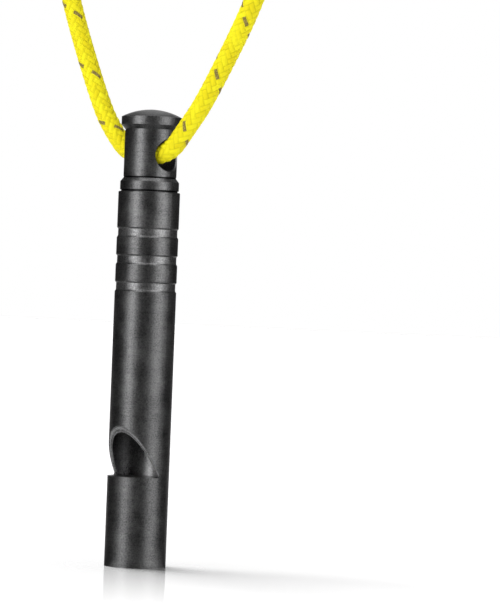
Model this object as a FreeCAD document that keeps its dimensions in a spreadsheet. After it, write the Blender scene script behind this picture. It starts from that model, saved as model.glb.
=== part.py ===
"""Survival whistle: a slim turned metal tube whistle on a cord loop, standing on its mouth end.

Frame, in millimetres: the origin is the middle of the mouth face, +Z runs up along the whistle's axis,
the sound window faces -Y and the cord hole runs along X.
"""
import FreeCAD, Part
import math
import os

import Sketcher
from FreeCAD import Vector

DIMENSIONS = [
    # barrel: one thin tube, open at both ends
    ("barrelDiameter", 8.0, "outside diameter of the barrel"),
    ("barrelLength", 48.64, "length of the barrel"),
    ("barrelWall", 0.5, "wall of the barrel"),
    ("rimBreak", 0.08, "broken edge round the barrel's top rim"),
    # sound window: a straight lip across the tube and a ramp that runs out to the surface
    ("windowLip", 11.7, "height of the window's lip above the mouth face"),
    ("windowLength", 6.57, "height of the window, from its lip to the end of its ramp"),
    ("windowDepth", 3.9, "depth of the window at its lip, from the barrel's surface"),
    ("windowCorner", 0.25, "radius of the cutter between the lip and the ramp"),
    # three shallow grip grooves
    ("grooveStart", 35.65, "height of the lowest groove's lower edge"),
    ("groovePitch", 3.5, "distance from one groove to the next"),
    ("grooveCount", 3, "number of grooves"),
    ("grooveWidth", 1.3, "width of a groove at the surface"),
    ("grooveDepth", 0.15, "depth of a groove"),
    ("grooveLowerSlope", 0.25, "height of a groove's sloped lower side"),
    ("grooveUpperSlope", 0.18, "height of a groove's steep upper side"),
    # windway block, pressed into the mouth end
    ("windwayHeight", 0.9, "gap between the block's flat and the bore"),
    ("pressGap", 0.02, "gap all round a part that is pressed into the bore"),
    ("blockBevel", 0.25, "bevel on the inner end of the block's flat"),
    # head: turned from one bar, its spigot closes the top of the barrel
    ("spigotLength", 5.0, "length of the head that sits in the bore"),
    ("spigotChamfer", 0.4, "lead-in chamfer on the spigot"),
    ("seatInset", 0.33, "step from the barrel's surface in to the seat that rests on its rim"),
    ("seatHeight", 0.22, "height of the seat, the dark line under the collar"),
    ("collarInset", 0.18, "step from the barrel's surface in to the collar"),
    ("collarHeight", 1.07, "height of the collar's straight side"),
    ("collarShoulder", 0.49, "height of the shoulder above the collar"),
    ("neckInset", 0.56, "step from the barrel's surface in to the neck"),
    ("neckUndercut", 0.05, "depth of the fine line at each end of the neck"),
    ("undercutHeight", 0.18, "height of that fine line"),
    ("neckLength", 6.3, "length of the neck with its two fine lines"),
    ("capUnderside", 0.56, "height of the sloped underside of the cap"),
    ("capInset", 0.05, "step from the barrel's surface in to the cap"),
    ("capHeight", 1.05, "height of the cap's straight side"),
    ("domeHeight", 1.02, "rise of the domed top above the cap's side"),
    # cord hole across the neck
    ("cordHoleDiameter", 4.0, "diameter of the cord hole"),
    ("cordHoleChamfer", 0.2, "chamfer round the cord hole's mouths"),
    ("cordHoleDrop", 0.15, "distance from the middle of the neck down to the cord hole's axis"),
    # lanyard
    ("cordDiameter", 2.4, "diameter of the cord"),
    ("knotDiameter", 8.6, "width of the knot"),
    ("knotHeight", 7.6, "height of the knot"),
    ("knotFlatDiameter", 5.6, "width of the knot where the cord's legs enter it"),
    ("knotCrownAngle", 55.0, "slope of the knot's rounded ends, in degrees"),
    ("tailLength", 7.0, "length of the two tails that stand out of the knot"),
    ("tailSpacing", 2.7, "distance between the two tails where they leave the knot"),
    ("tailSpread", 14.0, "angle of each tail to the whistle's axis, in degrees"),
]

# The cord's route: distance to the side and height above the axis of the cord hole. The legs leave the
# hole low, clear its lip, rise as a V and close in the knot above.
RIGHT_LEG = [
    (3.3, -0.02),
    (6.1, 3.2),
    (9.3, 7.2),
    (17.8, 21.1),
    (19.8, 30.0),
    (13.0, 39.0),
    (3.8, 45.0),
    (1.3, 50.6),
    (1.3, 55.6),
]
LEFT_LEG = [
    (-3.3, 0.0),
    (-6.25, 2.85),
    (-9.2, 6.6),
    (-15.8, 21.2),
    (-18.0, 30.4),
    (-12.1, 39.5),
    (-3.5, 45.3),
    (-1.3, 50.8),
    (-1.3, 55.6),
]
ARC_SHARE = 0.45  # share of the shorter run that a bend of the cord takes up

# Radii that several pieces share
OUTER = "Sizes.barrelDiameter / 2"
BORE = f"{OUTER} - Sizes.barrelWall"
PRESSED = f"{BORE} - Sizes.pressGap"


def make_sheet(doc):
    """The driving dimensions, one row each: a note, the number and its alias."""
    sheet = doc.addObject("Spreadsheet::Sheet", "Sizes")
    for row, (alias, number, note) in enumerate(DIMENSIONS, start=1):
        sheet.set(f"A{row}", note)
        sheet.set(f"B{row}", str(number))
        sheet.setAlias(f"B{row}", alias)
    doc.recompute()
    return sheet


def value(body, expression):
    """What an expression over the sheet comes to now."""
    return float(body.evalExpression(expression))


def new_body(doc, name):
    body = doc.addObject("PartDesign::Body", name)
    body.Label = name
    return body


def new_sketch(body, name, plane):
    sketch = body.newObject("Sketcher::SketchObject", name)
    origin = next(f for f in body.Origin.OriginFeatures if f.Role == plane)
    sketch.AttachmentSupport = [(origin, "")]
    sketch.MapMode = "FlatFace"
    return sketch


def pin(sketch, body, edge, end, corner, label):
    """Holds the end of an edge at a corner given by two expressions; "0" across means on the axis."""
    across, up = corner
    if across == "0":
        sketch.addConstraint(Sketcher.Constraint("PointOnObject", edge, end, -2))
    else:
        where = sketch.addConstraint(
            Sketcher.Constraint("DistanceX", -1, 1, edge, end, value(body, across))
        )
        sketch.renameConstraint(where, f"{label}Across")
        sketch.setExpression(f"Constraints.{label}Across", across)
    if up == "0":
        sketch.addConstraint(Sketcher.Constraint("PointOnObject", edge, end, -1))
    else:
        where = sketch.addConstraint(
            Sketcher.Constraint("DistanceY", -1, 1, edge, end, value(body, up))
        )
        sketch.renameConstraint(where, f"{label}Up")
        sketch.setExpression(f"Constraints.{label}Up", up)


def outline(body, name, plane, corners):
    """A closed sketch of straight edges from (label, across, up) corners."""
    sketch = new_sketch(body, name, plane)
    spots = [Vector(value(body, a), value(body, u), 0) for _, a, u in corners]
    count = len(spots)
    for i in range(count):
        sketch.addGeometry(Part.LineSegment(spots[i], spots[(i + 1) % count]), False)
    for i in range(count):
        sketch.addConstraint(Sketcher.Constraint("Coincident", i, 2, (i + 1) % count, 1))
    for i, (label, across, up) in enumerate(corners):
        pin(sketch, body, i, 1, (across, up), label)
    return sketch


def revolve(body, sketch, kind, name):
    """Turns a sketch once round the whistle's axis, as solid or as a cut."""
    feature = body.newObject(kind, name)
    feature.Profile = sketch
    feature.ReferenceAxis = (sketch, ["V_Axis"])
    feature.Angle = 360
    return feature


def cut_through(body, sketch, name):
    """Cuts a sketch through the body to both sides of its plane."""
    pocket = body.newObject("PartDesign::Pocket", name)
    pocket.Profile = sketch
    pocket.Type = "ThroughAll"
    pocket.SideType = "Symmetric"
    return pocket


def window_sketch(body):
    """The sound window seen along X: the lip, the cutter's corner and the ramp, closed outside the tube."""
    lip = "Sizes.windowLip"
    top = "Sizes.windowLip + Sizes.windowLength"
    surface = f"-({OUTER})"
    outside = f"{surface} - 1"
    depth = f"{surface} + Sizes.windowDepth"
    sketch = new_sketch(body, "WindowOutline", "YZ_Plane")
    corner = Vector(value(body, depth), value(body, lip), 0)
    ramp_end = Vector(value(body, surface), value(body, top), 0)
    lip_start = Vector(value(body, outside), corner.y, 0)
    ramp = (ramp_end - corner).normalize()
    along_lip = Vector(-1, 0, 0)
    half = along_lip.getAngle(ramp) / 2
    bend = value(body, "Sizes.windowCorner")
    reach = bend / math.tan(half)
    middle = corner + (along_lip + ramp).normalize() * (bend / math.sin(half))
    on_lip = corner + along_lip * reach
    on_ramp = corner + ramp * reach
    start = math.atan2(on_lip.y - middle.y, on_lip.x - middle.x)
    stop = math.atan2(on_ramp.y - middle.y, on_ramp.x - middle.x)
    circle = Part.Circle(middle, Vector(0, 0, 1), bend)
    sketch.addGeometry(
        [
            Part.LineSegment(lip_start, on_lip),
            Part.ArcOfCircle(circle, start, stop),
            Part.LineSegment(on_ramp, ramp_end),
            Part.LineSegment(ramp_end, Vector(lip_start.x, ramp_end.y, 0)),
            Part.LineSegment(Vector(lip_start.x, ramp_end.y, 0), lip_start),
        ],
        False,
    )
    sketch.addGeometry(Part.Point(corner), True)
    sketch.addConstraint(
        [
            Sketcher.Constraint("Tangent", 0, 2, 1, 1),
            Sketcher.Constraint("Tangent", 1, 2, 2, 1),
            Sketcher.Constraint("Coincident", 2, 2, 3, 1),
            Sketcher.Constraint("Coincident", 3, 2, 4, 1),
            Sketcher.Constraint("Coincident", 4, 2, 0, 1),
            Sketcher.Constraint("Horizontal", 0),
            Sketcher.Constraint("Horizontal", 3),
            Sketcher.Constraint("Vertical", 4),
            Sketcher.Constraint("PointOnObject", 5, 1, 2),
        ]
    )
    pin(sketch, body, 5, 1, (depth, lip), "corner")
    pin(sketch, body, 3, 1, (surface, top), "rampEnd")
    pin(sketch, body, 0, 1, (outside, lip), "lipStart")
    where = sketch.addConstraint(Sketcher.Constraint("Radius", 1, bend))
    sketch.renameConstraint(where, "cutter")
    sketch.setExpression("Constraints.cutter", "Sizes.windowCorner")
    return sketch


def make_barrel(doc):
    """The tube, with its three grooves and the sound window cut across it."""
    body = new_body(doc, "barrel")
    height = "Sizes.barrelLength"
    section = outline(
        body,
        "TubeSection",
        "XZ_Plane",
        [
            ("mouthInner", BORE, "0"),
            ("mouthOuter", OUTER, "0"),
            ("rimOuter", OUTER, f"{height} - Sizes.rimBreak"),
            ("rimBroken", f"{OUTER} - Sizes.rimBreak", height),
            ("rimInner", BORE, height),
        ],
    )
    revolve(body, section, "PartDesign::Revolution", "Tube")

    start = "Sizes.grooveStart"
    end = "Sizes.grooveStart + Sizes.grooveWidth"
    floor = f"{OUTER} - Sizes.grooveDepth"
    outside = f"{OUTER} + 1"
    groove_section = outline(
        body,
        "GrooveSection",
        "XZ_Plane",
        [
            ("lowerEdge", OUTER, start),
            ("lowerOutside", outside, start),
            ("upperOutside", outside, end),
            ("upperEdge", OUTER, end),
            ("upperFloor", floor, f"{end} - Sizes.grooveUpperSlope"),
            ("lowerFloor", floor, f"{start} + Sizes.grooveLowerSlope"),
        ],
    )
    groove = revolve(body, groove_section, "PartDesign::Groove", "GripGroove")
    rows = body.newObject("PartDesign::LinearPattern", "GripGrooves")
    rows.Originals = [groove]
    rows.Direction = (groove_section, ["V_Axis"])
    rows.Length = value(body, "Sizes.groovePitch * (Sizes.grooveCount - 1)")
    rows.setExpression("Length", "Sizes.groovePitch * (Sizes.grooveCount - 1)")
    rows.Occurrences = int(value(body, "Sizes.grooveCount"))
    rows.setExpression("Occurrences", "Sizes.grooveCount")
    body.Tip = rows

    cut_through(body, window_sketch(body), "SoundWindow")
    return body


def make_windway_block(doc):
    """The plug in the mouth end: a round bar with a flat that leaves the windway under the tube's wall."""
    body = new_body(doc, "windway_block")
    flat = f"-({BORE}) + Sizes.windwayHeight"
    section = outline(
        body,
        "BlockSection",
        "XZ_Plane",
        [
            ("axisFoot", "0", "0"),
            ("foot", PRESSED, "0"),
            ("top", PRESSED, "Sizes.windowLip"),
            ("axisTop", "0", "Sizes.windowLip"),
        ],
    )
    revolve(body, section, "PartDesign::Revolution", "Bar")
    outside = f"-({OUTER})"
    flat_cut = outline(
        body,
        "FlatOutline",
        "YZ_Plane",
        [
            ("mouthOutside", outside, "-1"),
            ("mouthFlat", flat, "-1"),
            ("bevelFoot", flat, "Sizes.windowLip - Sizes.blockBevel"),
            ("bevelTop", f"{flat} + Sizes.blockBevel", "Sizes.windowLip"),
            ("topInside", f"{flat} + Sizes.blockBevel", "Sizes.windowLip + 1"),
            ("topOutside", outside, "Sizes.windowLip + 1"),
        ],
    )
    cut_through(body, flat_cut, "WindwayFlat")
    return body


def make_head(doc):
    """The head: spigot, seat, collar, drilled neck and domed cap, turned as one."""
    body = new_body(doc, "head")
    neck = f"{OUTER} - Sizes.neckInset"
    line = f"{neck} - Sizes.neckUndercut"
    collar = f"{OUTER} - Sizes.collarInset"
    cap = f"{OUTER} - Sizes.capInset"
    seat = f"{OUTER} - Sizes.seatInset"
    rim = "Sizes.barrelLength"
    collar_foot = f"{rim} + Sizes.seatHeight"
    collar_edge = f"{collar_foot} + Sizes.collarHeight"
    neck_foot = f"{collar_edge} + Sizes.collarShoulder"
    neck_top = f"{neck_foot} + Sizes.neckLength"
    cap_foot = f"{neck_top} + Sizes.capUnderside"
    cap_edge = f"{cap_foot} + Sizes.capHeight"
    crown = f"{cap_edge} + Sizes.domeHeight"
    corners = [
        ("axisFoot", "0", f"{rim} - Sizes.spigotLength"),
        ("spigotFoot", f"{PRESSED} - Sizes.spigotChamfer", f"{rim} - Sizes.spigotLength"),
        ("spigotSide", PRESSED, f"{rim} - Sizes.spigotLength + Sizes.spigotChamfer"),
        ("spigotTop", PRESSED, rim),
        ("seatFoot", seat, rim),
        ("seatTop", seat, collar_foot),
        ("collarFoot", collar, collar_foot),
        ("collarEdge", collar, collar_edge),
        ("lowerLineOut", neck, neck_foot),
        ("lowerLineIn", line, neck_foot),
        ("lowerLineTop", line, f"{neck_foot} + Sizes.undercutHeight"),
        ("neckFoot", neck, f"{neck_foot} + Sizes.undercutHeight"),
        ("neckTop", neck, f"{neck_top} - Sizes.undercutHeight"),
        ("upperLineFoot", line, f"{neck_top} - Sizes.undercutHeight"),
        ("upperLineIn", line, neck_top),
        ("upperLineOut", neck, neck_top),
        ("capFoot", cap, cap_foot),
        ("capEdge", cap, cap_edge),
        ("crown", "0", crown),
    ]
    sketch = new_sketch(body, "HeadSection", "XZ_Plane")
    spots = [Vector(value(body, a), value(body, u), 0) for _, a, u in corners]
    edge = spots[-2]
    rise = spots[-1].y - edge.y
    dome = (edge.x**2 + rise**2) / (2 * rise)
    middle = Vector(0, spots[-1].y - dome, 0)
    for a, b in zip(spots[:-2], spots[1:-1]):
        sketch.addGeometry(Part.LineSegment(a, b), False)
    arc = sketch.addGeometry(
        Part.ArcOfCircle(
            Part.Circle(middle, Vector(0, 0, 1), dome),
            math.atan2(edge.y - middle.y, edge.x),
            math.pi / 2,
        ),
        False,
    )
    axis = sketch.addGeometry(Part.LineSegment(spots[-1], spots[0]), False)
    for i in range(arc + 1):
        sketch.addConstraint(Sketcher.Constraint("Coincident", i, 2, i + 1, 1))
    sketch.addConstraint(Sketcher.Constraint("Coincident", axis, 2, 0, 1))
    sketch.addConstraint(Sketcher.Constraint("PointOnObject", arc, 3, -2))
    for i, (label, across, up) in enumerate(corners):
        pin(sketch, body, i, 1, (across, up), label)
    revolve(body, sketch, "PartDesign::Revolution", "TurnedHead")

    hole = new_sketch(body, "CordHoleCircle", "YZ_Plane")
    height = f"{neck_foot} + Sizes.neckLength / 2 - Sizes.cordHoleDrop"
    bore = value(body, "Sizes.cordHoleDiameter / 2")
    centre = Vector(0, value(body, height), 0)
    hole.addGeometry(Part.Circle(centre, Vector(0, 0, 1), bore), False)
    pin(hole, body, 0, 3, ("0", height), "hole")
    where = hole.addConstraint(Sketcher.Constraint("Radius", 0, bore))
    hole.renameConstraint(where, "bore")
    hole.setExpression("Constraints.bore", "Sizes.cordHoleDiameter / 2")
    drilled = cut_through(body, hole, "CordHole")
    doc.recompute()
    mouths = [
        f"Edge{i}"
        for i, e in enumerate(drilled.Shape.Edges, start=1)
        if abs(e.CenterOfMass.z - centre.y) < bore and abs(e.CenterOfMass.x) > bore / 2
        and e.BoundBox.YLength > bore
        and e.BoundBox.ZLength > bore
    ]
    broken = body.newObject("PartDesign::Chamfer", "CordHoleChamfer")
    broken.Base = (drilled, mouths)
    broken.Size = value(body, "Sizes.cordHoleChamfer")
    broken.setExpression("Size", "Sizes.cordHoleChamfer")
    body.Tip = broken
    return body


def hole_height(sheet):
    """Height of the cord hole's axis, a little below the middle of the neck."""
    collar_top = sheet.barrelLength + sheet.seatHeight + sheet.collarHeight + sheet.collarShoulder
    return collar_top + sheet.neckLength / 2 - sheet.cordHoleDrop


def cord_path(sheet):
    """Straight runs joined by tangent arcs, from the knot down the left leg and up the right one."""
    base = hole_height(sheet)
    route = LEFT_LEG[::-1] + RIGHT_LEG
    points = [Vector(x, 0, base + up) for x, up in route]
    edges = []
    radii = []
    here = points[0]
    for before, point, after in zip(points, points[1:], points[2:]):
        back = before - point
        on = after - point
        half_turn = (math.pi - back.getAngle(on)) / 2
        reach = ARC_SHARE * min(back.Length, on.Length)
        radius = reach / math.tan(half_turn)
        back.normalize()
        on.normalize()
        arc_start = point + back * reach
        arc_end = point + on * reach
        inward = (back + on).normalize()
        to_middle = radius / math.cos(half_turn)
        arc_middle = point + inward * (to_middle - radius)
        edges.append(Part.LineSegment(here, arc_start).toShape())
        edges.append(Part.Arc(arc_start, arc_middle, arc_end).toShape())
        radii.append(radius)
        here = arc_end
    edges.append(Part.LineSegment(here, points[-1]).toShape())
    return Part.Wire(edges), radii


def make_cord(doc, sheet):
    """The cord itself, a plain round tube along its route."""
    path, radii = cord_path(sheet)
    start = path.Edges[0].Vertexes[0].Point
    heading = path.Edges[0].tangentAt(path.Edges[0].FirstParameter)
    ring = Part.Wire([Part.makeCircle(sheet.cordDiameter / 2, start, heading)])
    cord = doc.addObject("Part::Feature", "lanyard_cord")
    cord.Label = "lanyard_cord"
    cord.Shape = path.makePipeShell([ring], True, False)
    section = math.pi * (sheet.cordDiameter / 2) ** 2
    print("cord length", round(path.Length, 2), "radii", [round(r, 1) for r in radii])
    print("cord volume", round(cord.Shape.Volume, 2), "section times length", round(section * path.Length, 2))
    return cord


def make_knot(doc, sheet):
    """The knot that closes the loop, a plain crowned body with the cord's two tails standing out of it."""
    foot = hole_height(sheet) + RIGHT_LEG[-1][1]
    flat = sheet.knotFlatDiameter / 2
    belly = sheet.knotDiameter / 2
    crown = (belly - flat) * math.tan(math.radians(sheet.knotCrownAngle))
    top = foot + sheet.knotHeight
    profile = [
        Vector(0, 0, foot),
        Vector(flat, 0, foot),
        Vector(belly, 0, foot + crown),
        Vector(belly, 0, top - crown),
        Vector(flat, 0, top),
        Vector(0, 0, top),
        Vector(0, 0, foot),
    ]
    solid = Part.Face(Part.makePolygon(profile)).revolve(Vector(0, 0, 0), Vector(0, 0, 1), 360)
    radius = sheet.cordDiameter / 2
    lean = math.radians(sheet.tailSpread)
    tails = []
    for side in (-1, 1):
        heading = Vector(side * math.sin(lean), 0, math.cos(lean))
        root = Vector(side * sheet.tailSpacing / 2, 0, top) - heading * crown
        tails.append(Part.makeCylinder(radius, sheet.tailLength + crown, root, heading))
    knot = doc.addObject("Part::Feature", "lanyard_knot")
    knot.Label = "lanyard_knot"
    knot.Shape = solid.fuse(tails).removeSplitter()
    return knot


def check(doc, pieces):
    """Stops if an object failed or a piece has no sound solid."""
    for thing in doc.Objects:
        if "Invalid" in thing.State or "Error" in thing.State:
            raise SystemExit(f"{thing.Label} failed: {thing.State}")
    for piece in pieces:
        if piece.Shape.isNull() or not piece.Shape.isValid() or not piece.Shape.Solids:
            raise SystemExit(f"{piece.Label} has no valid solid")


def main():
    doc = FreeCAD.newDocument("survival_whistle")
    sheet = make_sheet(doc)
    pieces = [make_barrel(doc), make_windway_block(doc), make_head(doc)]
    pieces += [make_cord(doc, sheet), make_knot(doc, sheet)]
    doc.recompute()
    check(doc, pieces)
    os.makedirs("parts", exist_ok=True)
    for piece in pieces:
        piece.Shape.exportStep(os.path.join("parts", f"{piece.Label}.step"))
        box = piece.Shape.BoundBox
        print(piece.Label, "volume", round(piece.Shape.Volume, 1), "solids", len(piece.Shape.Solids), box)
    return doc


main()
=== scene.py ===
import math
import random

import bpy
import numpy as np
from mathutils import Matrix, Vector


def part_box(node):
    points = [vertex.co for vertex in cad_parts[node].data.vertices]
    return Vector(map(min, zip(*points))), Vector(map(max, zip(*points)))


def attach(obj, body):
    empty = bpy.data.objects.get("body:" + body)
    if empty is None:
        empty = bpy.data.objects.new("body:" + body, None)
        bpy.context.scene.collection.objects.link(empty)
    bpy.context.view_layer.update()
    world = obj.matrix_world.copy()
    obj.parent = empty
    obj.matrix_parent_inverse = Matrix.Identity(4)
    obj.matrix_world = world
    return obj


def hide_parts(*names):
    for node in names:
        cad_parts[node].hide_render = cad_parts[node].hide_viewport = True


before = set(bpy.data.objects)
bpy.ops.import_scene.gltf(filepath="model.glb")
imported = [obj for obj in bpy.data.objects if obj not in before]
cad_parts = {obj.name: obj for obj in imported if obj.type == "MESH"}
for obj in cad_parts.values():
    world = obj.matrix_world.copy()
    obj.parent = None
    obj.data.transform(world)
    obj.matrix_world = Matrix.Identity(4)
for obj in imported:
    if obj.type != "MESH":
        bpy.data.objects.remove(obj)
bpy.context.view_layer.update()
print("whistle loaded:", ", ".join(sorted(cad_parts)))


# small helpers for node trees, objects and pieces

def newMaterial(name):
    material = bpy.data.materials.new(name)
    material.use_nodes = True
    return material, material.node_tree, material.node_tree.nodes["Principled BSDF"]


def addNode(tree, kind, values=None, **settings):
    node = tree.nodes.new(kind)
    for key, value in settings.items():
        setattr(node, key, value)
    for key, value in (values or {}).items():
        node.inputs[key].default_value = value
    return node


def mathNode(tree, operation, first, second=None):
    node = addNode(tree, "ShaderNodeMath", operation=operation)
    for place, value in enumerate((first, second)):
        if isinstance(value, bpy.types.NodeSocket):
            tree.links.new(value, node.inputs[place])
        elif value is not None:
            node.inputs[place].default_value = value
    return node.outputs[0]


def spread(tree, value, low, high, toLow, toHigh):
    node = addNode(tree, "ShaderNodeMapRange",
                   {"From Min": low, "From Max": high, "To Min": toLow, "To Max": toHigh})
    tree.links.new(value, node.inputs["Value"])
    return node.outputs["Result"]


def blendColours(tree, amount, first, second):
    # the mix node's sockets for colours: 0 is the amount, 6 and 7 are the colours, output 2 is the blend
    node = addNode(tree, "ShaderNodeMix", data_type="RGBA")
    tree.links.new(amount, node.inputs[0])
    for place, value in ((6, first), (7, second)):
        if isinstance(value, bpy.types.NodeSocket):
            tree.links.new(value, node.inputs[place])
        else:
            node.inputs[place].default_value = (*value, 1)
    return node.outputs[2]


def noise(tree, scale, detail, coordinates=None, roughness=0.5):
    node = addNode(tree, "ShaderNodeTexNoise", {"Scale": scale, "Detail": detail, "Roughness": roughness})
    if coordinates is None:
        coordinates = addNode(tree, "ShaderNodeTexCoord").outputs["Object"]
    tree.links.new(coordinates, node.inputs["Vector"])
    return node.outputs["Fac"]


def dotWith(tree, vector, way):
    node = addNode(tree, "ShaderNodeVectorMath", operation="DOT_PRODUCT")
    tree.links.new(vector, node.inputs[0])
    node.inputs[1].default_value = way
    return node.outputs["Value"]


def addBump(tree, shader, height, strength, depth):
    bump = addNode(tree, "ShaderNodeBump", {"Strength": strength, "Distance": depth})
    tree.links.new(height, bump.inputs["Height"])
    tree.links.new(bump.outputs["Normal"], shader.inputs["Normal"])


def mixSurface(tree, share, first, second):
    # the finished surface, which goes from first to second as the share rises
    mixed = addNode(tree, "ShaderNodeMixShader")
    for place, value in enumerate((share, first, second)):
        tree.links.new(value, mixed.inputs[place])
    tree.links.new(mixed.outputs[0], tree.nodes["Material Output"].inputs["Surface"])


def newObject(name, data):
    thing = bpy.data.objects.new(name, data)
    bpy.context.scene.collection.objects.link(thing)
    return thing


def newMesh(name, vertices, faces, material):
    mesh = bpy.data.meshes.new(name)
    mesh.from_pydata(vertices, [], faces)
    mesh.update()
    mesh.materials.append(material)
    return newObject(name, mesh)


def newPiece(name, vertices, faces, material):
    piece = newMesh(name, vertices, faces, material)
    piece.data.polygons.foreach_set("use_smooth", [True] * len(piece.data.polygons))
    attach(piece, "root")
    return piece


# camera: level, looking at the window's left side, rolled a little

cameraView = {
    "azimuth": 40.6,             # degrees round from the front, where the window is
    "distance": 0.450,           # metres from the whistle's axis
    "aimRight": 0.01365,         # the middle of the picture is right of the whistle
    "aimHeight": 0.03418,
    "roll": 2.24,                # degrees, the whistle leans right
    "pixelsPerMetre": 7700,      # at the whistle
    "pictureHeight": 615,
    "sensorHeight": 24.0,
    "nearest": 0.01,             # nothing nearer than this is drawn
}


def placeCamera(view):
    azimuth = math.radians(view["azimuth"])
    roll = math.radians(view["roll"])
    forward = Vector((-math.sin(azimuth), math.cos(azimuth), 0))
    level = Vector((math.cos(azimuth), math.sin(azimuth), 0))
    upright = Vector((0, 0, 1))
    right = level * math.cos(roll) + upright * math.sin(roll)
    up = upright * math.cos(roll) - level * math.sin(roll)
    place = level * view["aimRight"] + upright * view["aimHeight"] - forward * view["distance"]

    data = bpy.data.cameras.new("camera")
    data.sensor_fit = "VERTICAL"
    data.sensor_height = view["sensorHeight"]
    data.lens = view["sensorHeight"] * view["pixelsPerMetre"] * view["distance"] / view["pictureHeight"]
    data.clip_start = view["nearest"]
    camera = newObject("camera", data)
    camera.matrix_world = Matrix((
        (right.x, up.x, -forward.x, place.x),
        (right.y, up.y, -forward.y, place.y),
        (right.z, up.z, -forward.z, place.z),
        (0, 0, 0, 1),
    ))
    bpy.context.scene.camera = camera


placeCamera(cameraView)
print("camera placed")


# yellow braided cord

# each leg's points are pairs of metres: to the right of the whistle's axis, and above the hole
cordBuild = {
    "diameter": 0.00255,
    "holeHeight": 0.05342,       # axis of the cross hole in the head
    "nearSide": -0.00025,        # the cord lies against this side of the hole
    "nearWidth": 0.007,          # it does so up to this far from the axis
    "nearRise": 0.01,            # and up to this far above the hole
    "rightLeg": [(0.0033, 0.0), (0.0061, 0.0032), (0.0093, 0.0072), (0.0178, 0.0211), (0.0198, 0.0300),
                 (0.0130, 0.0390), (0.0038, 0.0450), (0.0013, 0.0506), (0.0013, 0.0580)],
    "leftLeg": [(-0.0033, 0.0), (-0.00625, 0.00285), (-0.0092, 0.0066), (-0.0158, 0.0212), (-0.0180, 0.0304),
                (-0.0121, 0.0395), (-0.0035, 0.0453), (-0.0013, 0.0508), (-0.0013, 0.0580)],
}

braidBuild = {
    "strands": 8,                # each way round
    "pitch": 0.0088,             # one full turn of a strand
    "cells": 6,                  # faces across one crossing
    "relief": 0.00013,           # depth of the gaps between strands
    "tracer": 2,                 # this strand carries the grey thread
    "thread": (0.17, 0.84),      # the grey thread's share of its strand's width
    "shift": -26,                # even number, slides the pattern along the cord
    "tones": 997,                # different shades among the strands' visible stretches
    # share of the cord's length, and degrees that the braid is turned there
    "twist": [(0.0, 40), (0.345, -6), (0.5, -22), (0.573, -17), (0.655, 3), (0.81, 62), (1.0, 75)],
    # share of the cord's length, and metres that the braid is moved along there
    "slide": [(0.0, 0.0), (0.519, 0.0), (0.573, -0.0006), (0.634, -0.0011), (0.694, -0.0022), (1.0, 0.0)],
}

yarnLook = {
    "yarn": (0.86, 0.73, 0.007),
    "creaseShade": (0.66, 0.58, 0.006),     # painted shade in the gaps between strands
    "creaseShadeBelow": 0.7,                # strands lower than this share of their height take the painted shade
    "pale": (1.0, 0.93, 0.016),
    "mostPale": 0.75,                # share of the pale colour in the palest strand
    "tracer": (0.20, 0.15, 0.04),
    "tracerPale": (0.50, 0.41, 0.10),
    "flecks": 6000,                  # scale of the specks in the grey thread
    "fleckRange": (0.45, 0.7),
    "filaments": 5,                  # across one strand
    "fuzz": 14000,                   # scale of the loose fibres
    "bump": 0.5,
    "bumpDepth": 0.00001,
    "roughness": 0.62,
    "specular": 0.15,
    "sheen": 0.25,
    "sheenRoughness": 0.4,
    "sheenTint": (1.0, 0.88, 0.05),
}


def yarnMaterial(look):
    material, tree, shader = newMaterial("braidedYarn")
    crown, across, tone, tracer = [
        addNode(tree, "ShaderNodeAttribute", attribute_name=label).outputs["Fac"]
        for label in ("crown", "across", "tone", "tracer")]

    # the yarn turns to the painted shade where the strands dip into the gaps
    outOfCreaseShade = spread(tree, crown, 0.0, look["creaseShadeBelow"], 0.0, 1.0)
    body = blendColours(tree, outOfCreaseShade, look["creaseShade"], look["yarn"])
    body = blendColours(tree, spread(tree, tone, 0.0, 1.0, 0.0, look["mostPale"]), body, look["pale"])
    fleck = spread(tree, noise(tree, look["flecks"], 2), *look["fleckRange"], 0.0, 1.0)
    grey = blendColours(tree, fleck, look["tracer"], look["tracerPale"])
    tree.links.new(blendColours(tree, tracer, body, grey), shader.inputs["Base Color"])

    wave = mathNode(tree, "SINE", mathNode(tree, "MULTIPLY", across, look["filaments"] * 2 * math.pi))
    fibre = mathNode(tree, "ADD", wave, noise(tree, look["fuzz"], 2))
    addBump(tree, shader, fibre, look["bump"], look["bumpDepth"])

    shader.inputs["Roughness"].default_value = look["roughness"]
    shader.inputs["Specular IOR Level"].default_value = look["specular"]
    shader.inputs["Sheen Weight"].default_value = look["sheen"]
    shader.inputs["Sheen Roughness"].default_value = look["sheenRoughness"]
    shader.inputs["Sheen Tint"].default_value = (*look["sheenTint"], 1)
    return material


def splineLine(name, controls, fineness=48):
    # a smooth line through space, read back as close points
    data = bpy.data.curves.new(name, "CURVE")
    data.dimensions = "3D"
    data.resolution_u = fineness
    spline = data.splines.new("NURBS")
    spline.points.add(len(controls) - 1)
    for point, control in zip(spline.points, controls):
        point.co = (*control, 1)
    spline.order_u = 3
    spline.use_endpoint_u = True
    curve = bpy.data.objects.new(name, data)
    mesh = bpy.data.meshes.new_from_object(curve)
    line = np.array([vertex.co for vertex in mesh.vertices])
    bpy.data.meshes.remove(mesh)
    bpy.data.objects.remove(curve)
    bpy.data.curves.remove(data)
    return line


def lineLength(line):
    return float(np.linalg.norm(np.diff(line, axis=0), axis=1).sum())


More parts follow.
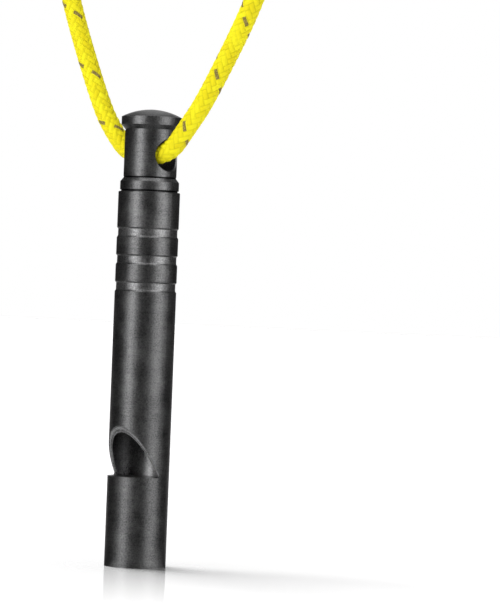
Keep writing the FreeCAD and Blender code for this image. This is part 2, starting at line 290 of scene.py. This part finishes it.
def ringsAlong(line, count, sideways, slide):
    # centres, and two crosswise directions that don't twist, evenly along the line but for the slide
    steps = np.linalg.norm(np.diff(line, axis=0), axis=1)
    along = np.concatenate(([0.0], np.cumsum(steps)))
    places = np.linspace(0.0, along[-1], count)
    shares, slides = zip(*slide)
    places = places + np.interp(places / along[-1], shares, slides)
    centres = np.stack([np.interp(places, along, line[:, k]) for k in range(3)], axis=1)
    tangents = np.gradient(centres, axis=0)
    tangents /= np.linalg.norm(tangents, axis=1)[:, None]
    first = np.empty_like(centres)
    side = np.array(sideways, float)
    for place, tangent in enumerate(tangents):
        side = side - tangent * side.dot(tangent)
        side /= np.linalg.norm(side)
        first[place] = side
    return centres, first, np.cross(tangents, first)


def strandHeights(a, b):
    # height, 0 to 1, of the strands at a place in the braid, where each passes over two and under two
    strandA = np.floor(a)
    strandB = np.floor(b)
    over = np.mod(strandA + strandB, 4) < 2
    alongA = np.mod(b + strandA, 4) / 2
    alongB = np.mod(a + strandB - 2, 4) / 2
    across = np.where(over, a - strandA, b - strandB)
    along = np.clip(np.where(over, alongA, alongB), 0, 1)
    roundAcross = np.sqrt(np.clip(1 - (2 * across - 1) ** 2, 0, 1))
    roundAlong = np.sqrt(np.clip(1 - (2 * along - 1) ** 4, 0, 1))
    return roundAcross * roundAlong


def braidCorners(line, diameter, build, rings, around, sideways):
    # places of the corners, ring by ring, the strands' height there, and the rings' centres
    centres, first, second = ringsAlong(line, rings, sideways, build["slide"])
    ring = np.arange(rings)[:, None]
    step = 2 * np.arange(around)[None, :] + ring % 2
    latticeA = (step + ring + build["shift"]) // 2
    latticeB = (step - ring - build["shift"]) // 2
    crown = strandHeights(latticeA / build["cells"], latticeB / build["cells"])
    shares, turns = zip(*build["twist"])
    twist = np.radians(np.interp(np.linspace(0, 1, rings), shares, turns))
    angle = math.pi * step / around + twist[:, None]
    radius = diameter / 2 - build["relief"] * (1 - crown)
    places = (centres[:, None, :]
              + (radius * np.cos(angle))[:, :, None] * first[:, None, :]
              + (radius * np.sin(angle))[:, :, None] * second[:, None, :])
    return places.reshape(-1, 3), crown.reshape(-1), centres


def braidFaces(build, rings, around):
    # four-sided faces that lie along the strands, so that no strand's edge is jagged
    low = np.arange(rings - 2)[:, None]
    column = np.arange(around)[None, :]
    odd = low % 2
    faces = np.stack([
        low * around + column,
        (low + 1) * around + (column + odd) % around,
        (low + 2) * around + column,
        (low + 1) * around + (column + odd - 1) % around,
    ], axis=2).reshape(-1, 4)
    step = 2 * column + odd
    cornerA = (step + low + build["shift"]) // 2
    cornerB = (step - low - build["shift"]) // 2 - 1
    return faces, cornerA, cornerB


def strandValues(build, cornerA, cornerB, seed):
    # for each face: 1 on the grey thread, its strand's tone, and how far across its strand each corner lies
    strands, cells = build["strands"], build["cells"]
    cellA = np.floor_divide(cornerA, cells)
    cellB = np.floor_divide(cornerB, cells)
    place = np.mod(cellA + cellB, 4)
    over = (place < 2).reshape(-1)
    shareA = ((cornerA - cellA * cells) / cells).reshape(-1)
    shareB = ((cornerB - cellB * cells) / cells).reshape(-1)

    threadLow, threadHigh = build["thread"]
    middle = shareA + 0.5 / cells
    inThread = (middle > threadLow) & (middle < threadHigh)
    onStrand = np.mod(cellA, strands).reshape(-1) == build["tracer"]
    tracer = (over & onStrand & inThread).astype(float)

    # the factors only scatter the tones, so that neighbours differ
    dice = random.Random(seed)
    tones = np.array([dice.random() for k in range(build["tones"])])
    keyA = np.mod(cellA, strands) * 31 + (cellA - cellB + place) * 17
    keyB = np.mod(cellB, strands) * 53 + (cellA - place + 2 - cellB) * 29 + 401
    tone = tones[np.mod(np.where(over, keyA.reshape(-1), keyB.reshape(-1)), build["tones"])]

    one = 1 / cells
    acrossA = np.stack([shareA, shareA + one, shareA + one, shareA], axis=1)
    acrossB = np.stack([shareB + one, shareB + one, shareB, shareB], axis=1)
    return tracer, tone, np.where(over[:, None], acrossA, acrossB)


def closeEnds(vertices, centres, rings, around):
    # a flat fan of triangles over each end, round a corner added to the vertices
    fans = []
    for end, last, before in (("start", 0, 1), ("end", rings - 1, rings - 2)):
        hub = len(vertices)
        vertices.append(centres[last].tolist())
        odd = last % 2
        for k in range(around):
            tip = last * around + k
            rightOne = before * around + (k + odd) % around
            leftOne = before * around + (k + odd - 1) % around
            for p, q in ((tip, rightOne), (leftOne, tip)):
                fans.append([hub, q, p] if end == "start" else [hub, p, q])
    return fans


def keepValues(mesh, label, domain, values, extra):
    # values for the material to read, with zeros for what the closed ends add
    layer = mesh.attributes.new(label, "FLOAT", domain)
    layer.data.foreach_set("value", np.concatenate((values, np.zeros(extra))).astype(np.float32))


def braidedTube(name, line, diameter, build, material, sideways=(0, 1, 0), seed=1):
    around = build["strands"] * build["cells"]      # corners in one ring
    rings = round(lineLength(line) / (build["pitch"] / (2 * around))) + 1
    places, crown, centres = braidCorners(line, diameter, build, rings, around, sideways)
    faces, cornerA, cornerB = braidFaces(build, rings, around)
    tracer, tone, across = strandValues(build, cornerA, cornerB, seed)
    vertices = places.tolist()
    fans = closeEnds(vertices, centres, rings, around)
    piece = newPiece(name, vertices, faces.tolist() + fans, material)
    keepValues(piece.data, "crown", "POINT", crown, 2)
    keepValues(piece.data, "tracer", "FACE", tracer, len(fans))
    keepValues(piece.data, "tone", "FACE", tone, len(fans))
    keepValues(piece.data, "across", "CORNER", across.reshape(-1), 3 * len(fans))
    return piece


def cordControls(build):
    path = list(reversed(build["leftLeg"])) + build["rightLeg"]
    controls = []
    for x, rise in path:
        nearHole = abs(x) < build["nearWidth"] and rise < build["nearRise"]
        controls.append((x, build["nearSide"] if nearHole else 0.0, build["holeHeight"] + rise))
    return controls


yarn = yarnMaterial(yarnLook)
cordLine = splineLine("cordRoute", cordControls(cordBuild))
cord = braidedTube("braided_cord", cordLine, cordBuild["diameter"], braidBuild, yarn)
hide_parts("lanyard_cord")
print("cord braided:", round(lineLength(cordLine) * 1000, 1), "mm,", len(cord.data.polygons), "faces")


# knot that closes the loop

knotBuild = {
    "top": 0.0076,               # height of the knot's top above its underside
    "turns": 3,
    "pointsPerTurn": 12,
    "firstPoint": -45,           # degrees round the knot
    "start": 0.00135,            # height of the first turn above the knot's underside
    "rise": 0.00225,             # one turn above the last
    "risingTurns": 2.25,         # the whole rise, counted in turns
    "halfWidth": 0.00305,        # from the knot's axis to the middle of a turn, along x
    "halfDepth": 0.00265,        # the same, front to back
    "waist": 0.00022,            # the first and last turns lie this much closer in
    "outward": 1.035,            # the smooth line runs inside its points, so they stand further out
    "leadIn": [(0.0009, 0.0, 0.0012), (0.0019, -0.0012, 0.0011)],     # above the knot's underside
    "leadOut": [(0.0016, -0.0006, 0.0002), (0.0, 0.0, 0.0001)],       # above the last turn
    "fineness": 16,
    "tailSpacing": 0.0027,
    "tailSpread": 14,            # degrees
    "tailLength": 0.0068,
    "tailRoot": 0.003,           # the tails start this far under the knot's top
    "tailKnee": 0.0006,          # and lean outward from here
    "tailBow": 0.00015,
}

# blob where a cut end of the cord was melted
tipBuild = {
    "height": 0.0005,
    "segments": 40,
    "rows": 9,
    "wrap": 0.62,                # of a half circle, from its top down over the cord's end
    "width": 1.04,               # times the cord's
    "uneven": 0.035,
    "lift": 0.15,                # of the height, how far the blob's middle stands off the end
}

meltedLook = {
    "burnt": (0.20, 0.13, 0.012),
    "clear": (0.62, 0.48, 0.02),
    "blotches": 1800,
    "blotchRange": (0.35, 0.65),
    "bump": 0.6,
    "bumpDepth": 0.00005,
    "roughness": 0.28,
}


def knotWraps(build, bottom, diameter):
    controls = [(x, y, bottom + rise) for x, y, rise in build["leadIn"]]
    steps = build["turns"] * build["pointsPerTurn"]
    for step in range(steps + 1):
        share = step / steps
        turn = 2 * math.pi * step / build["pointsPerTurn"] + math.radians(build["firstPoint"])
        closer = build["waist"] * (2 * share - 1) ** 2
        height = bottom + build["start"] + build["rise"] * build["risingTurns"] * share
        controls.append(((build["halfWidth"] - closer) * math.cos(turn) * build["outward"],
                         (build["halfDepth"] - closer) * math.sin(turn) * build["outward"], height))
    top = controls[-1][2]
    controls += [(x, y, top + rise) for x, y, rise in build["leadOut"]]
    line = splineLine("knotTurns", controls, build["fineness"])
    return braidedTube("knot_wraps", line, diameter, braidBuild, yarn, (0, 0, 1), 5)


def knotTail(build, side, top, diameter, name, seed):
    lean = math.radians(build["tailSpread"])
    start = Vector((side * build["tailSpacing"] / 2, 0, top - build["tailRoot"]))
    knee = Vector((side * build["tailSpacing"] / 2, 0, top - build["tailKnee"]))
    direction = Vector((side * math.sin(lean), 0, math.cos(lean)))
    end = knee + direction * build["tailLength"]
    middle = (knee + end) / 2 + Vector((0, build["tailBow"] * side, 0))
    line = splineLine(name, [start, knee, middle, end], build["fineness"])
    return braidedTube(name, line, diameter, braidBuild, yarn, (0, 1, 0), seed), end, direction


def meltedMaterial(look):
    material, tree, shader = newMaterial("meltedEnd")
    shade = noise(tree, look["blotches"], 3)
    blotch = spread(tree, shade, *look["blotchRange"], 0.0, 1.0)
    tree.links.new(blendColours(tree, blotch, look["burnt"], look["clear"]), shader.inputs["Base Color"])
    addBump(tree, shader, shade, look["bump"], look["bumpDepth"])
    shader.inputs["Roughness"].default_value = look["roughness"]
    return material


def meltedTip(name, build, end, direction, diameter, seed):
    # a low dome with an uneven rim
    dice = random.Random(seed)
    segments, rows = build["segments"], build["rows"]
    wobble = [dice.uniform(-1, 1) for k in range(4)]
    across = direction.cross(Vector((0, 1, 0))).normalized()
    other = direction.cross(across).normalized()
    vertices, faces = [], []
    for row in range(rows):
        tilt = row / (rows - 1) * math.pi * build["wrap"]
        for k in range(segments):
            angle = 2 * math.pi * k / segments
            uneven = 1 + build["uneven"] * (wobble[0] * math.cos(2 * angle + wobble[1] * 3)
                                            + wobble[2] * math.cos(3 * angle + wobble[3] * 3))
            radius = diameter / 2 * build["width"] * math.sin(tilt) * uneven
            rise = build["height"] * (math.cos(tilt) + build["lift"] * uneven)
            vertices.append(end + (across * math.cos(angle) + other * math.sin(angle)) * radius
                            + direction * rise)
    for row in range(rows - 1):
        for k in range(segments):
            nextOne = (k + 1) % segments
            faces.append([row * segments + k, row * segments + nextOne,
                          (row + 1) * segments + nextOne, (row + 1) * segments + k])
    faces.append([(rows - 1) * segments + k for k in range(segments)])
    return newPiece(name, vertices, faces, melted)


melted = meltedMaterial(meltedLook)
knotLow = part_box("lanyard_knot")[0]
knotTop = knotLow.z + knotBuild["top"]
wraps = knotWraps(knotBuild, knotLow.z, cordBuild["diameter"])
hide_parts("lanyard_knot")
knotPieces = [wraps]
for side, label in ((-1, "left"), (1, "right")):
    tail, tailEnd, tailWay = knotTail(knotBuild, side, knotTop, cordBuild["diameter"],
                                      "tail_" + label, 7 + side)
    tip = meltedTip("melted_tip_" + label, tipBuild, tailEnd, tailWay, cordBuild["diameter"], 20 + side)
    knotPieces += [tail, tip]

print("knot tied")


# blasted dark metal

noiseRange = (0.3, 0.7)          # most of a noise's values lie between these

metalLook = {
    "dark": (0.14, 0.14, 0.143),
    "light": (0.45, 0.45, 0.453),
    "roughness": (0.34, 0.43),
    "grain": 5600,               # about a fifth of a millimetre
    "grainRoughness": 0.6,
    "grainTone": (0.0, 0.8),     # what the grain adds to the share of light
    "grainBump": 0.6,
    "grainDepth": 0.00004,
    "patches": 420,
    "patchTone": (-0.1, 0.3),
    "turning": 6500,             # fine marks round the axis
    "turningTone": (-0.10, 0.10),
    "turningStretch": (0.05, 0.05, 1.0),     # they change along the axis and hardly round it
}

# places where highlights, reflections and shade are painted into the metal's colour, two of them with a
# roughness of their own: each edge is how softly the place ends
paintedLightPlaces = {
    "rampWay": (0.0, -0.860, -0.510),    # the window's milled ramp faces this way
    "rampMatch": (0.975, 0.99),          # how nearly a face has to, as a cosine
    # painted reflection of the white floor: the ramp's colour is made this much brighter
    "rampReflectionGain": 1.9,
    "rampRoughness": 0.72,
    "bore": 0.00362,             # metres from the axis, the drilled inside
    "boreEdge": 0.00003,
    # painted highlight: the drilled inside's colour is made this much brighter
    "boreHighlightGain": 1.25,
    "boreRoughness": 0.26,
    "groove": (0.00372, 0.00390),        # metres from the axis
    "grooveEdge": 0.00002,
    # painted highlight: the grooves' colour is made this much brighter
    "grooveHighlightGain": 1.7,
    "seat": (0.04862, 0.04888),  # height of the painted shade in the gap under the collar
    "seatEdge": 0.00001,
    "foot": (0.05038, 0.05060),  # height of the painted shade line round the neck's foot
    "footEdge": 0.00002,
    # painted shade: the colour in both bands is made this dark
    "gapShadeGain": 0.10,
    "shoulder": (0.04996, 0.05036),      # the collar's sloping top, with a painted highlight
    "shoulderEdge": 0.00003,
    "shoulderHighlightGain": 1.5,
}


def band(tree, value, low, high, soft):
    # 1 between low and high, 0 outside
    rising = spread(tree, value, low - soft, low + soft, 0.0, 1.0)
    falling = spread(tree, value, high - soft, high + soft, 1.0, 0.0)
    return mathNode(tree, "MULTIPLY", rising, falling)


def metalTone(tree, look, place, grain, patches):
    # share of the light colour, from the grain, the patches and the turning marks
    tone = mathNode(tree, "ADD", spread(tree, grain, *noiseRange, *look["grainTone"]),
                    spread(tree, patches, *noiseRange, *look["patchTone"]))
    marks = addNode(tree, "ShaderNodeMapping")
    tree.links.new(place, marks.inputs["Vector"])
    marks.inputs["Scale"].default_value = look["turningStretch"]
    turning = noise(tree, look["turning"], 2, marks.outputs["Vector"])
    return mathNode(tree, "ADD", tone, spread(tree, turning, *noiseRange, *look["turningTone"]))


def paintedLightMasks(tree, node, places, spot):
    # for each place of painted light or shade: where it is, how much its colour is scaled, brighter or
    # darker, and its roughness if that differs
    # the milled ramp gets a painted reflection and a roughness of its own
    facing = dotWith(tree, spot.outputs["Normal"], places["rampWay"])
    ramp = spread(tree, facing, *places["rampMatch"], 0.0, 1.0)
    masks = [(ramp, places["rampReflectionGain"], places["rampRoughness"])]
    axes = addNode(tree, "ShaderNodeSeparateXYZ")
    tree.links.new(spot.outputs["Object"], axes.inputs[0])
    x, y, height = axes.outputs
    if node == "barrel":
        squares = [mathNode(tree, "MULTIPLY", axis, axis) for axis in (x, y)]
        away = mathNode(tree, "SQRT", mathNode(tree, "ADD", *squares))
        # the drilled inside gets a painted highlight and a roughness of its own
        bore, edge = places["bore"], places["boreEdge"]
        masks.append((spread(tree, away, bore - edge, bore + edge, 1.0, 0.0),
                      places["boreHighlightGain"], places["boreRoughness"]))
        # painted highlight in the grooves
        grooves = band(tree, away, *places["groove"], places["grooveEdge"])
        masks.append((grooves, places["grooveHighlightGain"], None))
    if node == "head":
        # painted shade in the gap under the collar and round the neck's foot
        gapShade = mathNode(tree, "MAXIMUM", band(tree, height, *places["seat"], places["seatEdge"]),
                       band(tree, height, *places["foot"], places["footEdge"]))
        # painted highlight on the collar's sloping top
        shoulder = band(tree, height, *places["shoulder"], places["shoulderEdge"])
        masks += [(gapShade, places["gapShadeGain"], None), (shoulder, places["shoulderHighlightGain"], None)]
    return masks


def blastedMetal(node, look, places):
    material, tree, shader = newMaterial(node + "Metal")
    spot = addNode(tree, "ShaderNodeTexCoord")
    grain = noise(tree, look["grain"], 3, roughness=look["grainRoughness"])
    patches = noise(tree, look["patches"], 3)
    tone = metalTone(tree, look, spot.outputs["Object"], grain, patches)
    colour = blendColours(tree, tone, look["dark"], look["light"])
    low, high = look["roughness"]
    rough = spread(tree, patches, *noiseRange, low, high)
    # painted highlights, reflections and shade scale the colour place by place
    for where, gain, roughness in paintedLightMasks(tree, node, places, spot):
        paintedLight = addNode(tree, "ShaderNodeVectorMath", operation="SCALE")
        tree.links.new(colour, paintedLight.inputs[0])
        tree.links.new(spread(tree, where, 0.0, 1.0, 1.0, gain), paintedLight.inputs["Scale"])
        colour = paintedLight.outputs["Vector"]
        if roughness is not None:
            rough = mathNode(tree, "ADD", rough, spread(tree, where, 0.0, 1.0, 0.0, roughness - low))
    tree.links.new(colour, shader.inputs["Base Color"])
    tree.links.new(rough, shader.inputs["Roughness"])
    addBump(tree, shader, grain, look["grainBump"], look["grainDepth"])
    shader.inputs["Metallic"].default_value = 1.0
    return material


for node in ("barrel", "head", "windway_block"):
    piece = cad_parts[node]
    piece.material_slots[0].material = blastedMetal(node, metalLook, paintedLightPlaces)
print("metal finished")


# studio: white surround, pale floor, dark cards and four lights for the metal, three lights for the rest

# all angles here are degrees from the camera's side to its right
studio = {
    "surround": 0.46,            # strength of the even light on cloth and floor
    "floorHalf": 4.0,            # half the floor's side
    "floorColour": (0.25, 0.25, 0.25),
    "reflection": 0.55,          # share of the mirror image at the whistle's foot
    "reflectionReach": 0.076,    # it fades out at this distance
    "cardRadius": 0.62,
    "cardHeight": 2.2,
    "cardFoot": 0.00002,         # the cards' underside lies this far over the floor
    "cardSides": 64,
    "cardTone": 0.02,
    "floorTone": 0.02,           # what the underside adds to it, which the metal mirrors as the floor
    "undersideTop": 0.001,       # the cards count as underside below this height
    "clothHeight": 0.06,         # the lights for the cloth are aimed at this height
}

# glowing patches of that underside, painted reflections of lit floor in the lamps' directions: full within
# the core's angle, gone at the edge's
paintedFloorGlow = {
    "left": {"angle": -47, "core": 10, "edge": 22, "tone": 0.36},
    "right": {"angle": 58, "core": 15, "edge": 28, "tone": 0.26},
    "back": {"angle": 180, "core": 14, "edge": 45, "tone": 0.46},
}

# these show only in gloss and mirror images
softLights = {
    "leftTall": {"angle": -47, "distance": 0.48, "height": 0.99, "width": 0.20, "tall": 1.96,
                 "strength": 2.35},
    "rightTall": {"angle": 58, "distance": 0.48, "height": 0.99, "width": 0.32, "tall": 1.96,
                  "strength": 1.48},
    "behind": {"angle": 180, "distance": 0.50, "height": 0.52, "width": 0.16, "tall": 0.90,
               "strength": 0.6},
    "domeGlow": {"angle": 180, "distance": 0.50, "height": 0.62, "width": 0.60, "tall": 0.72,
                 "strength": 0.10},
}

# the first two light cloth and floor, the last one only the floor, and the metal mirrors none of them
keyLight = {"angle": -45, "rise": 25, "distance": 0.6, "size": 0.35, "strength": 3.3}
topLight = {"angle": -120, "rise": 75, "distance": 1.0, "spread": 60, "strength": 1.5}
shadowLight = {"angle": -133, "rise": 69, "distance": 1.0, "spread": 28, "strength": 12.5}


def levelWay(angle):
    turn = math.radians(cameraView["azimuth"] + angle)
    return Vector((math.sin(turn), -math.cos(turn), 0))


def makeSurround(look):
    world = bpy.data.worlds.new("surround")
    bpy.context.scene.world = world
    world.use_nodes = True
    world.cycles.sampling_method = "NONE"
    tree = world.node_tree
    # plain white for the camera, mirrors and glass, and an even light for the rest
    path = addNode(tree, "ShaderNodeLightPath")
    seen = mathNode(tree, "MAXIMUM", path.outputs["Is Camera Ray"], path.outputs["Is Glossy Ray"])
    seen = mathNode(tree, "MAXIMUM", seen, path.outputs["Is Transmission Ray"])
    strength = spread(tree, seen, 0, 1, look["surround"], 1.0)
    tree.links.new(strength, tree.nodes["Background"].inputs["Strength"])
    tree.nodes["Background"].inputs["Color"].default_value = (1, 1, 1, 1)


def makeFloor(look):
    material, tree, shader = newMaterial("whiteFloor")
    tree.nodes.remove(shader)
    card = addNode(tree, "ShaderNodeBsdfDiffuse", {"Color": (*look["floorColour"], 1)})
    # a faint mirror image round the foot
    mirror = addNode(tree, "ShaderNodeBsdfGlossy", {"Roughness": 0.0})
    away = addNode(tree, "ShaderNodeVectorMath", operation="LENGTH")
    tree.links.new(addNode(tree, "ShaderNodeTexCoord").outputs["Object"], away.inputs[0])
    share = spread(tree, away.outputs["Value"], 0.0, look["reflectionReach"], look["reflection"], 0.0)
    mixSurface(tree, share, card.outputs[0], mirror.outputs[0])

    half = look["floorHalf"]
    corners = [(-half, -half, 0), (half, -half, 0), (half, half, 0), (-half, half, 0)]
    floor = newMesh("floor", corners, [(0, 1, 2, 3)], material)
    return floor


def cardMaterial(look):
    # dark to the metal's soft reflections, and clear to sharp ones such as the floor's
    material, tree, shader = newMaterial("darkCard")
    tree.nodes.remove(shader)
    spot = addNode(tree, "ShaderNodeTexCoord").outputs["Object"]
    axes = addNode(tree, "ShaderNodeSeparateXYZ")
    tree.links.new(spot, axes.inputs[0])
    way = addNode(tree, "ShaderNodeVectorMath", operation="NORMALIZE")
    tree.links.new(spot, way.inputs[0])
    below = look["floorTone"]
    # painted reflections of lit floor, glowing towards the lamps
    for patch in paintedFloorGlow.values():
        towards = dotWith(tree, way.outputs["Vector"], levelWay(patch["angle"]))
        edge, core = math.cos(math.radians(patch["edge"])), math.cos(math.radians(patch["core"]))
        below = mathNode(tree, "ADD", spread(tree, towards, edge, core, 0.0, patch["tone"]), below)
    underside = spread(tree, axes.outputs[2], 0.0, look["undersideTop"], 1.0, 0.0)
    tone = mathNode(tree, "ADD", mathNode(tree, "MULTIPLY", below, underside), look["cardTone"])
    dark = addNode(tree, "ShaderNodeEmission")
    tree.links.new(tone, dark.inputs["Strength"])
    clear = addNode(tree, "ShaderNodeBsdfTransparent")
    sharp = addNode(tree, "ShaderNodeLightPath").outputs["Is Singular Ray"]
    mixSurface(tree, sharp, dark.outputs[0], clear.outputs[0])
    material.cycles.emission_sampling = "NONE"
    return material


def makeDarkCards(look):
    # a closed drum of cards round the whistle, which lights nothing and throws no shadow
    sides, radius = look["cardSides"], look["cardRadius"]
    turns = [2 * math.pi * k / sides for k in range(sides)]
    vertices = [(radius * math.cos(turn), radius * math.sin(turn), height)
                for height in (look["cardFoot"], look["cardHeight"]) for turn in turns]
    faces = [(k, (k + 1) % sides, sides + (k + 1) % sides, sides + k) for k in range(sides)]
    faces += [tuple(range(sides)), tuple(range(sides, 2 * sides))]
    cards = newMesh("dark_cards", vertices, faces, cardMaterial(look))
    cards.visible_camera = False
    cards.visible_diffuse = False
    cards.visible_transmission = False
    cards.visible_shadow = False


def makeSoftLight(name, light):
    way = levelWay(light["angle"])
    data = bpy.data.lights.new(name, "AREA")
    data.shape = "RECTANGLE"
    data.size = light["width"]
    data.size_y = light["tall"]
    data.energy = light["strength"] * math.pi * light["width"] * light["tall"]
    lamp = newObject(name, data)
    lamp.location = way * light["distance"] + Vector((0, 0, light["height"]))
    lamp.rotation_euler = (-way).to_track_quat("-Z", "Y").to_euler()
    lamp.visible_camera = False
    lamp.visible_diffuse = False


def makeClothLight(name, kind, light, aimHeight, only=None):
    rise = math.radians(light["rise"])
    way = levelWay(light["angle"]) * math.cos(rise) + Vector((0, 0, math.sin(rise)))
    data = bpy.data.lights.new(name, kind)
    if kind == "SUN":
        data.angle = math.radians(light["spread"])
        data.energy = light["strength"]
    else:
        data.size = light["size"]
        data.energy = light["strength"] * math.pi * light["size"] ** 2
    lamp = newObject(name, data)
    lamp.location = Vector((0, 0, aimHeight)) + way * light["distance"]
    lamp.rotation_euler = (-way).to_track_quat("-Z", "Y").to_euler()
    lamp.visible_camera = False
    lamp.visible_glossy = False
    if only:
        lit = bpy.data.collections.new(name + "Lit")
        lit.objects.link(only)
        lamp.light_linking.receiver_collection = lit


makeSurround(studio)
floor = makeFloor(studio)
makeDarkCards(studio)
for name, light in softLights.items():
    makeSoftLight(name, light)
makeClothLight("keyLight", "AREA", keyLight, studio["clothHeight"])
makeClothLight("topLight", "SUN", topLight, studio["clothHeight"])
makeClothLight("shadowLight", "SUN", shadowLight, studio["clothHeight"], floor)

# neither the metal nor the floor mirrors the cord
for piece in [cord] + knotPieces:
    piece.visible_glossy = False

bpy.context.scene.view_settings.view_transform = "Standard"

print("studio ready")
